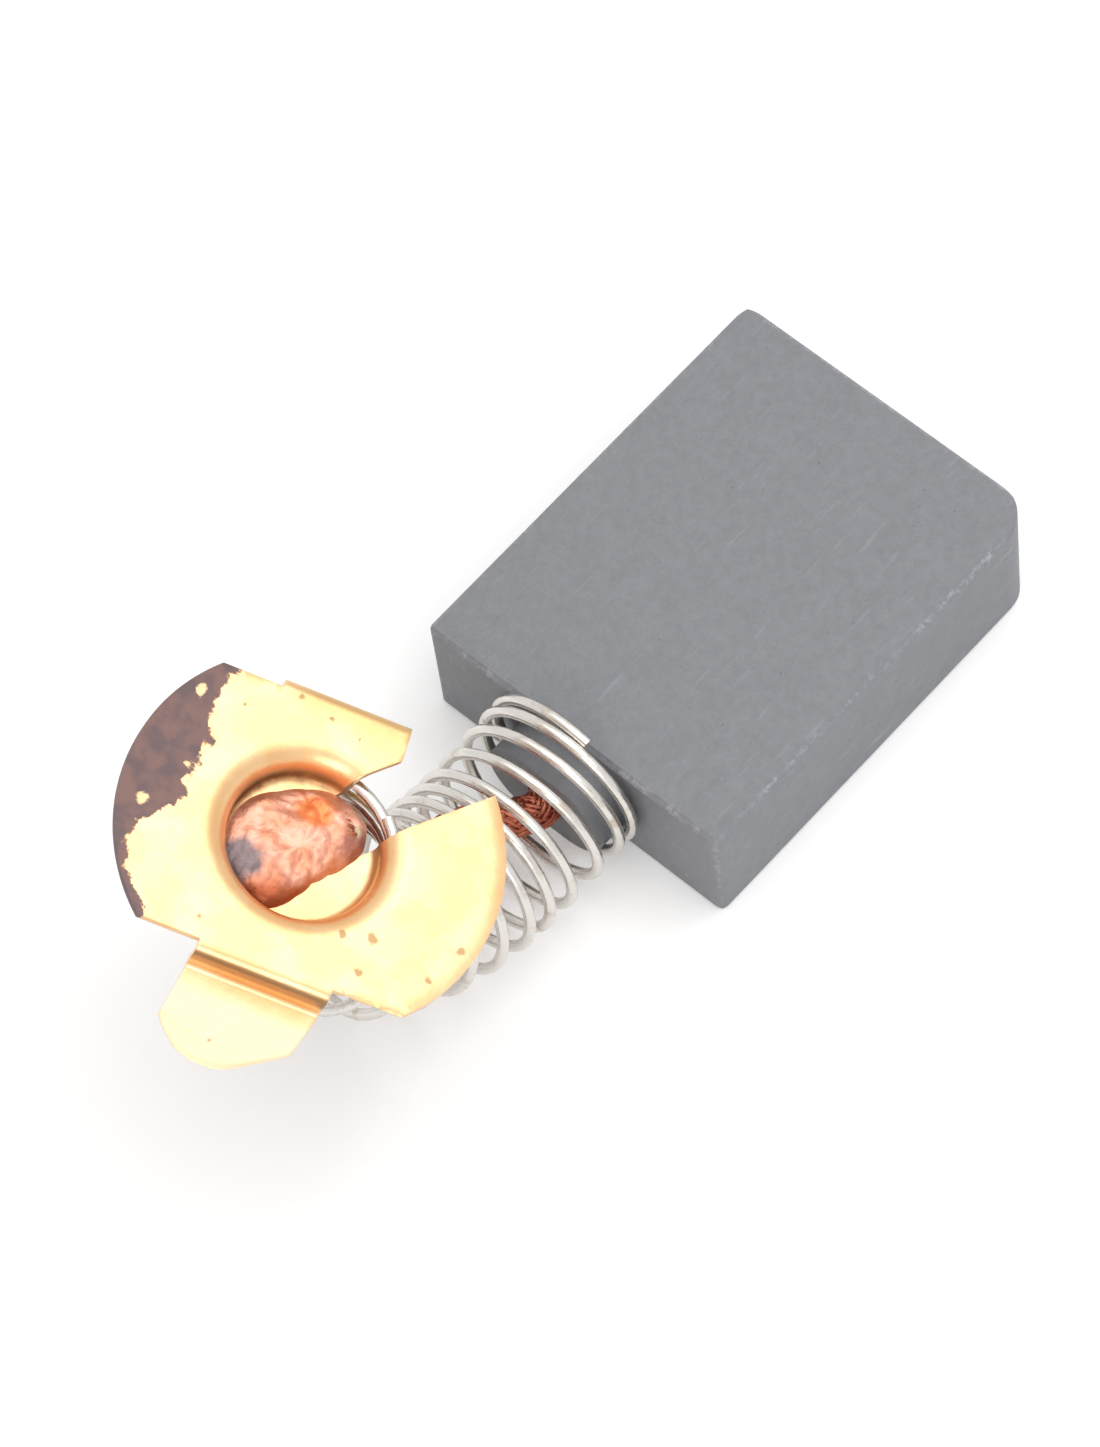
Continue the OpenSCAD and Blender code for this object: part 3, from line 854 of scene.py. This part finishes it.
class BRUSH_OT_brass_cap(bpy.types.Operator):
    """Makes the stamped cap: flange, cup, slot and two bent ears, from one sheet"""
    bl_idname = "brush.brass_cap"
    bl_label = "Brass cap"

    def execute(self, context):
        sheet = self.flange_and_cup()
        self.cut_flats(sheet)
        self.straight_ear(sheet)
        self.splayed_ear(sheet)
        self.uneven(sheet)
        apply_modifier(sheet, "SOLIDIFY", thickness=mm("sheet_t"), offset=-1.0,
                       use_even_offset=True)
        self.cut_slot(sheet)
        apply_modifier(sheet, "BEVEL", width=0.05, segments=2, limit_method="ANGLE",
                       angle_limit=math.radians(50))
        finish_mesh(sheet, 40, CAP_PLACE)
        dress(sheet, brass_finish(context.scene.brush_colours))
        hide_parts("brass_cap")
        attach(sheet, "cap")
        return {"FINISHED"}

    def profile(self):
        """Stations of the sheet's upper face from the rim to the middle: radius and height."""
        cup_r, dish_r, floor_r, depth = map(mm, ("cup_r", "dish_r", "floor_r", "cup_depth"))
        roll_steps, floor_steps = 12, 6
        made = [(r, 0.0) for r in (8.3, 7.4, 6.4, 5.6, 5.0, cup_r + dish_r)]
        for i in range(1, roll_steps + 1):
            a = math.pi / 2 * i / roll_steps
            made.append((cup_r + dish_r - dish_r * math.sin(a), dish_r * (math.cos(a) - 1)))
        made.append((cup_r, -(dish_r + depth - floor_r) / 2))
        for i in range(floor_steps + 1):
            a = math.pi / 2 * i / floor_steps
            made.append((cup_r - floor_r * (1 - math.cos(a)),
                         -depth + floor_r * (1 - math.sin(a))))
        return made + [(2.4, -depth), (1.2, -depth)]

    def flange_and_cup(self):
        """The round sheet, drawn inwards from its rim ring by ring."""
        rim = mm("rim_r")
        deselect_all()
        bpy.ops.mesh.primitive_circle_add(vertices=192, radius=rim, fill_type="NOTHING")
        sheet = name_piece("cap_sheet")
        bpy.ops.object.mode_set(mode="EDIT")
        bpy.ops.mesh.select_all(action="SELECT")
        at, height = rim, 0.0
        for r, z in self.profile():
            bpy.ops.mesh.extrude_edges_move(TRANSFORM_OT_translate={"value": (0, 0, z - height)})
            bpy.ops.transform.resize(value=(r / at, r / at, 1), center_override=(0, 0, 0))
            at, height = r, z
        bpy.ops.mesh.edge_face_add()
        bpy.ops.mesh.select_all(action="SELECT")
        bpy.ops.mesh.normals_make_consistent(inside=False)
        bpy.ops.object.mode_set(mode="OBJECT")
        if sum(f.normal.z for f in sheet.data.polygons) < 0:
            bpy.ops.object.mode_set(mode="EDIT")
            bpy.ops.mesh.flip_normals()
            bpy.ops.object.mode_set(mode="OBJECT")
        shift, still_r = mm("rim_shift"), 5.6
        for v in sheet.data.vertices:
            out = math.hypot(v.co.x, v.co.y)
            v.co.x += shift * max(0.0, (out - still_r) / (rim - still_r))
        return sheet

    def bisect(self, sheet, at, normal, test, clear=False):
        """Divides the faces that pass a test, or cuts off what lies past the plane."""
        select_faces(sheet, test)
        bpy.ops.mesh.bisect(plane_co=at, plane_no=normal, clear_outer=clear, clear_inner=False,
                            use_fill=False, threshold=1e-5)

    def cut_flats(self, sheet):
        """Cuts the rim along both flats, and divides it where the ears' roots end."""
        past = 4.9  # only what lies further out than this is divided
        flat, half = mm("flat_half"), mm("ear_half")
        for way in (1, -1):
            self.bisect(sheet, (0, way * flat, 0), (0, way, 0), lambda co: True, clear=True)
            for x in (-half, half):
                self.bisect(sheet, (x, 0, 0), (1, 0, 0), lambda co: co.y * way > past)
        lip = -flat + 0.4
        self.bisect(sheet, (0, lip, 0), (0, -1, 0), lambda co: co.y < -past and co.x > 2)

    def root(self, sheet, way):
        """Selects the edge of a flat from which an ear grows."""
        flat, half = mm("flat_half"), mm("ear_half")
        select_border(sheet, lambda co: abs(co.y - way * flat) < 0.01 and abs(co.x) < half + 0.01
                      and co.z > -0.05)

    def spin(self, angle, centre, steps):
        """Bends the selected edge round a line along the flats."""
        bpy.ops.mesh.spin(steps=steps, angle=math.radians(angle), center=centre, axis=(1, 0, 0))

    def rows(self, step, count):
        """Extrudes the selected edge in equal steps."""
        for _ in range(count):
            bpy.ops.mesh.extrude_edges_move(TRANSFORM_OT_translate={"value": step})

    def straight_ear(self, sheet):
        """The ear that points straight down, with rounded corners."""
        low, corner, count = -5.2, 1.7, 8
        flat, bend, half = mm("flat_half"), mm("bend_r"), mm("ear_half")
        self.root(sheet, 1)
        self.spin(90, (0, flat, -bend), 8)
        self.rows((0, 0, (low + bend) / count), count)
        bpy.ops.object.mode_set(mode="OBJECT")
        for v in sheet.data.vertices:
            if v.co.y > flat + bend - 0.01 and v.co.z < -bend - 0.01:
                past = max(0.0, abs(v.co.x) - (half - corner)) / corner
                rise = corner * (1 - math.sqrt(max(0.0, 1 - past * past)))
                depth = (-bend - v.co.z) / (-bend - low)
                v.co.z += rise * depth

    def splayed_ear(self, sheet):
        """The ear that steps down and then spreads outwards, slightly sloping."""
        flat, bend, half = mm("flat_half"), mm("bend_r"), mm("ear_half")
        step_z, turn_r, slope, count = -1.5, 0.35, math.radians(20), 10
        self.root(sheet, -1)
        self.spin(-90, (0, -flat, -bend), 8)
        out = flat + bend
        self.rows((0, 0, (step_z + bend) / 2), 2)
        self.spin(70, (0, -out - turn_r, step_z), 6)
        bpy.ops.object.mode_set(mode="OBJECT")
        start = min(v.co.y for v in sheet.data.vertices)
        level = min(v.co.z for v in sheet.data.vertices if v.co.y < start + 0.01)
        bpy.ops.object.mode_set(mode="EDIT")
        self.rows((0, -math.cos(slope) / count, -math.sin(slope) / count), count)
        bpy.ops.object.mode_set(mode="OBJECT")
        # how far the ear reaches at each place across it, and how its two sides lean inwards
        far = [(0, 2.45), (0.06, 2.95), (0.2, 3.72), (0.34, 3.98), (0.5, 4.0), (0.62, 3.72),
               (0.78, 3.05), (0.9, 2.55), (1, 2.1)]
        reach, lean_low, lean_high = 0.93, -0.35, -0.55
        for v in sheet.data.vertices:
            if v.co.y < start - 0.001:
                part = (start - v.co.y) / math.cos(slope)
                across = (v.co.x + half) / (2 * half)
                run = part * CoilLine.lookup(across, far) * reach
                v.co.x += (lean_low * (1 - across) + lean_high * across) * part
                v.co.y = start - run * math.cos(slope)
                v.co.z = level - run * math.sin(slope)

    def uneven(self, sheet):
        """Small waves of a thin stamping, and the turned-down edge beside the splayed ear."""
        flat, lip_x = mm("flat_half"), mm("ear_half") + 0.3
        even_r, wave, lip_drop = 5, 0.05, 0.1
        for v in sheet.data.vertices:
            past = math.hypot(v.co.x, v.co.y) - even_r
            if past > 0 and v.co.z > -0.05:
                place = Vector((v.co.x * 0.22, v.co.y * 0.22, 1.7))
                v.co.z += wave * min(1.0, past / 2) * noise.noise(place)
                if v.co.x > lip_x and v.co.y < -flat + 0.02:
                    v.co.z -= lip_drop * min(1.0, v.co.x - lip_x)

    def cut_slot(self, sheet):
        """Cuts the slot, which widens to the straight ear's side on its way to the rim."""
        a = math.radians(SLOT_ANGLE)
        turn = Matrix(((math.cos(a), -math.sin(a)), (math.sin(a), math.cos(a))))
        past_rim, bottom, height = 16, -9, 12
        beside = mm("ear_half") - 0.2
        elbow = (beside + SLOT_HIGH * math.sin(a)) / math.cos(a)
        outline = [turn @ Vector((SLOT_END, SLOT_LOW)), turn @ Vector((past_rim, SLOT_LOW)),
                   (12.5, past_rim), (beside, past_rim),
                   turn @ Vector((elbow, SLOT_HIGH)), turn @ Vector((SLOT_END, SLOT_HIGH))]
        deselect_all()
        bpy.ops.mesh.primitive_circle_add(vertices=len(outline), radius=1, fill_type="NGON")
        cutter = name_piece("slot_cutter")
        for v, p in zip(cutter.data.vertices, outline):
            v.co = (p[0], p[1], bottom)
        bpy.ops.object.mode_set(mode="EDIT")
        bpy.ops.mesh.select_all(action="SELECT")
        bpy.ops.mesh.extrude_region_move(TRANSFORM_OT_translate={"value": (0, 0, height)})
        bpy.ops.mesh.select_all(action="SELECT")
        bpy.ops.mesh.normals_make_consistent(inside=False)
        deselect_all()
        apply_modifier(sheet, "BOOLEAN", object=cutter, operation="DIFFERENCE", solver="EXACT")
        bpy.data.objects.remove(cutter)


# The soft lamps: name, place, width and power. All point at the brush's middle
LAMPS = [("Top lamp", (60, -60, 420), 520, 1.15), ("Front lamp", (-230, -190, 150), 110, 0.20),
         ("Side lamp", (120, -60, 300), 60, 0.06)]
LAMP_TARGET = (-10, 0, 6)
WORLD_LIGHT = 0.62  # the world's strength where it lights, against 1 where it is seen
LENS, SENSOR = 169.57, 36
CAMERA_AT = (-109.31, -114.59, 284.73)
CAMERA_RIGHT = (0.6638, -0.7439, -0.0763)
CAMERA_AHEAD = (0.3089, 0.3657, -0.8780)


class BRUSH_OT_stage(bpy.types.Operator):
    """Makes the pale floor, the soft lamps, the world and the camera"""
    bl_idname = "brush.stage"
    bl_label = "Stage"

    def execute(self, context):
        scene = context.scene
        scene.view_settings.view_transform = "Standard"
        self.floor()
        self.world(scene)
        for name, at, size, power in LAMPS:
            self.lamp(name, at, size, power)
        self.camera(scene)
        return {"FINISHED"}

    @staticmethod
    def floor():
        """A wide pale floor that glows a little where it is seen."""
        deselect_all()
        bpy.ops.mesh.primitive_grid_add(x_subdivisions=8, y_subdivisions=8, size=4)
        floor = name_piece("floor")
        f = Finish("Pale floor", Roughness=0.9)
        plain = f.node("ShaderNodeBsdfDiffuse", None, {"Color": (0.86, 0.86, 0.86, 1)})
        bright = f.node("ShaderNodeEmission", None, {"Color": (1, 1, 1, 1), "Strength": 0.2})
        both = f.node("ShaderNodeAddShader", None, {0: plain.outputs[0], 1: bright.outputs[0]})
        mixed = f.node("ShaderNodeMixShader", None,
                       {0: f.seen(), 1: plain.outputs[0], 2: both.outputs[0]})
        out = next(n for n in f.tree.nodes if n.type == "OUTPUT_MATERIAL")
        f.link(out.inputs["Surface"], mixed.outputs[0])
        dress(floor, f.material)

    @staticmethod
    def world(scene):
        """Even white light from all round."""
        world = scene.world or bpy.data.worlds.new("Studio")
        scene.world = world
        world.use_nodes = True
        nodes = Nodes(world.node_tree)
        back = next(n for n in world.node_tree.nodes if n.type == "BACKGROUND")
        strength = nodes.node("ShaderNodeMix", None, {0: nodes.seen(), 2: WORLD_LIGHT, 3: 1.0})
        nodes.link(back.inputs["Strength"], strength.outputs[0])
        nodes.link(back.inputs["Color"], (1, 1, 1, 1))

    @staticmethod
    def lamp(name, at, size, power):
        """A square soft lamp; place and size in millimetres, power in watts."""
        bpy.ops.object.light_add(type="AREA")
        lamp = bpy.context.object
        lamp.name = name
        lamp.data.size = size * MM
        lamp.data.energy = power
        at, target = Vector(at) * MM, Vector(LAMP_TARGET) * MM
        lamp.matrix_world = (Matrix.Translation(at)
                             @ (at - target).to_track_quat("Z", "Y").to_matrix().to_4x4())

    @staticmethod
    def camera(scene):
        """The camera, from its place, its own right and the way it looks."""
        bpy.ops.object.camera_add()
        camera = bpy.context.object
        camera.name = "Camera"
        camera.data.lens = LENS
        camera.data.sensor_width = SENSOR
        camera.data.sensor_fit = "AUTO"
        camera.data.clip_start = 0.01
        camera.data.clip_end = 20
        right, ahead = Vector(CAMERA_RIGHT).normalized(), Vector(CAMERA_AHEAD).normalized()
        turned = Matrix((right, right.cross(ahead), -ahead)).transposed().to_4x4()
        camera.matrix_world = Matrix.Translation(Vector(CAMERA_AT) * MM) @ turned
        scene.camera = camera


class BRUSH_PT_panel(bpy.types.Panel):
    """Lists the sizes, the colours and the building steps"""
    bl_idname = "BRUSH_PT_panel"
    bl_label = "Carbon Brush"
    bl_space_type = "VIEW_3D"
    bl_region_type = "UI"
    bl_category = "Carbon Brush"

    def draw(self, context):
        for group in (context.scene.brush_sizes, context.scene.brush_colours):
            for key in group.__annotations__:
                self.layout.prop(group, key)
        for step in STEPS:
            self.layout.operator(step.bl_idname)


STEPS = (BRUSH_OT_carbon_block, BRUSH_OT_spring, BRUSH_OT_pigtail, BRUSH_OT_weld,
         BRUSH_OT_brass_cap, BRUSH_OT_stage)
CLASSES = (BrushSizes, BrushColours, *STEPS, BRUSH_PT_panel)


def register():
    for each in CLASSES:
        bpy.utils.register_class(each)
    bpy.types.Scene.brush_sizes = PointerProperty(type=BrushSizes)
    bpy.types.Scene.brush_colours = PointerProperty(type=BrushColours)


def unregister():
    del bpy.types.Scene.brush_sizes
    del bpy.types.Scene.brush_colours
    for each in reversed(CLASSES):
        bpy.utils.unregister_class(each)


def main():
    register()
    bpy.ops.brush.carbon_block()
    bpy.ops.brush.spring()
    bpy.ops.brush.pigtail()
    bpy.ops.brush.weld()
    bpy.ops.brush.brass_cap()
    bpy.ops.brush.stage()


if __name__ == "__main__":
    main()
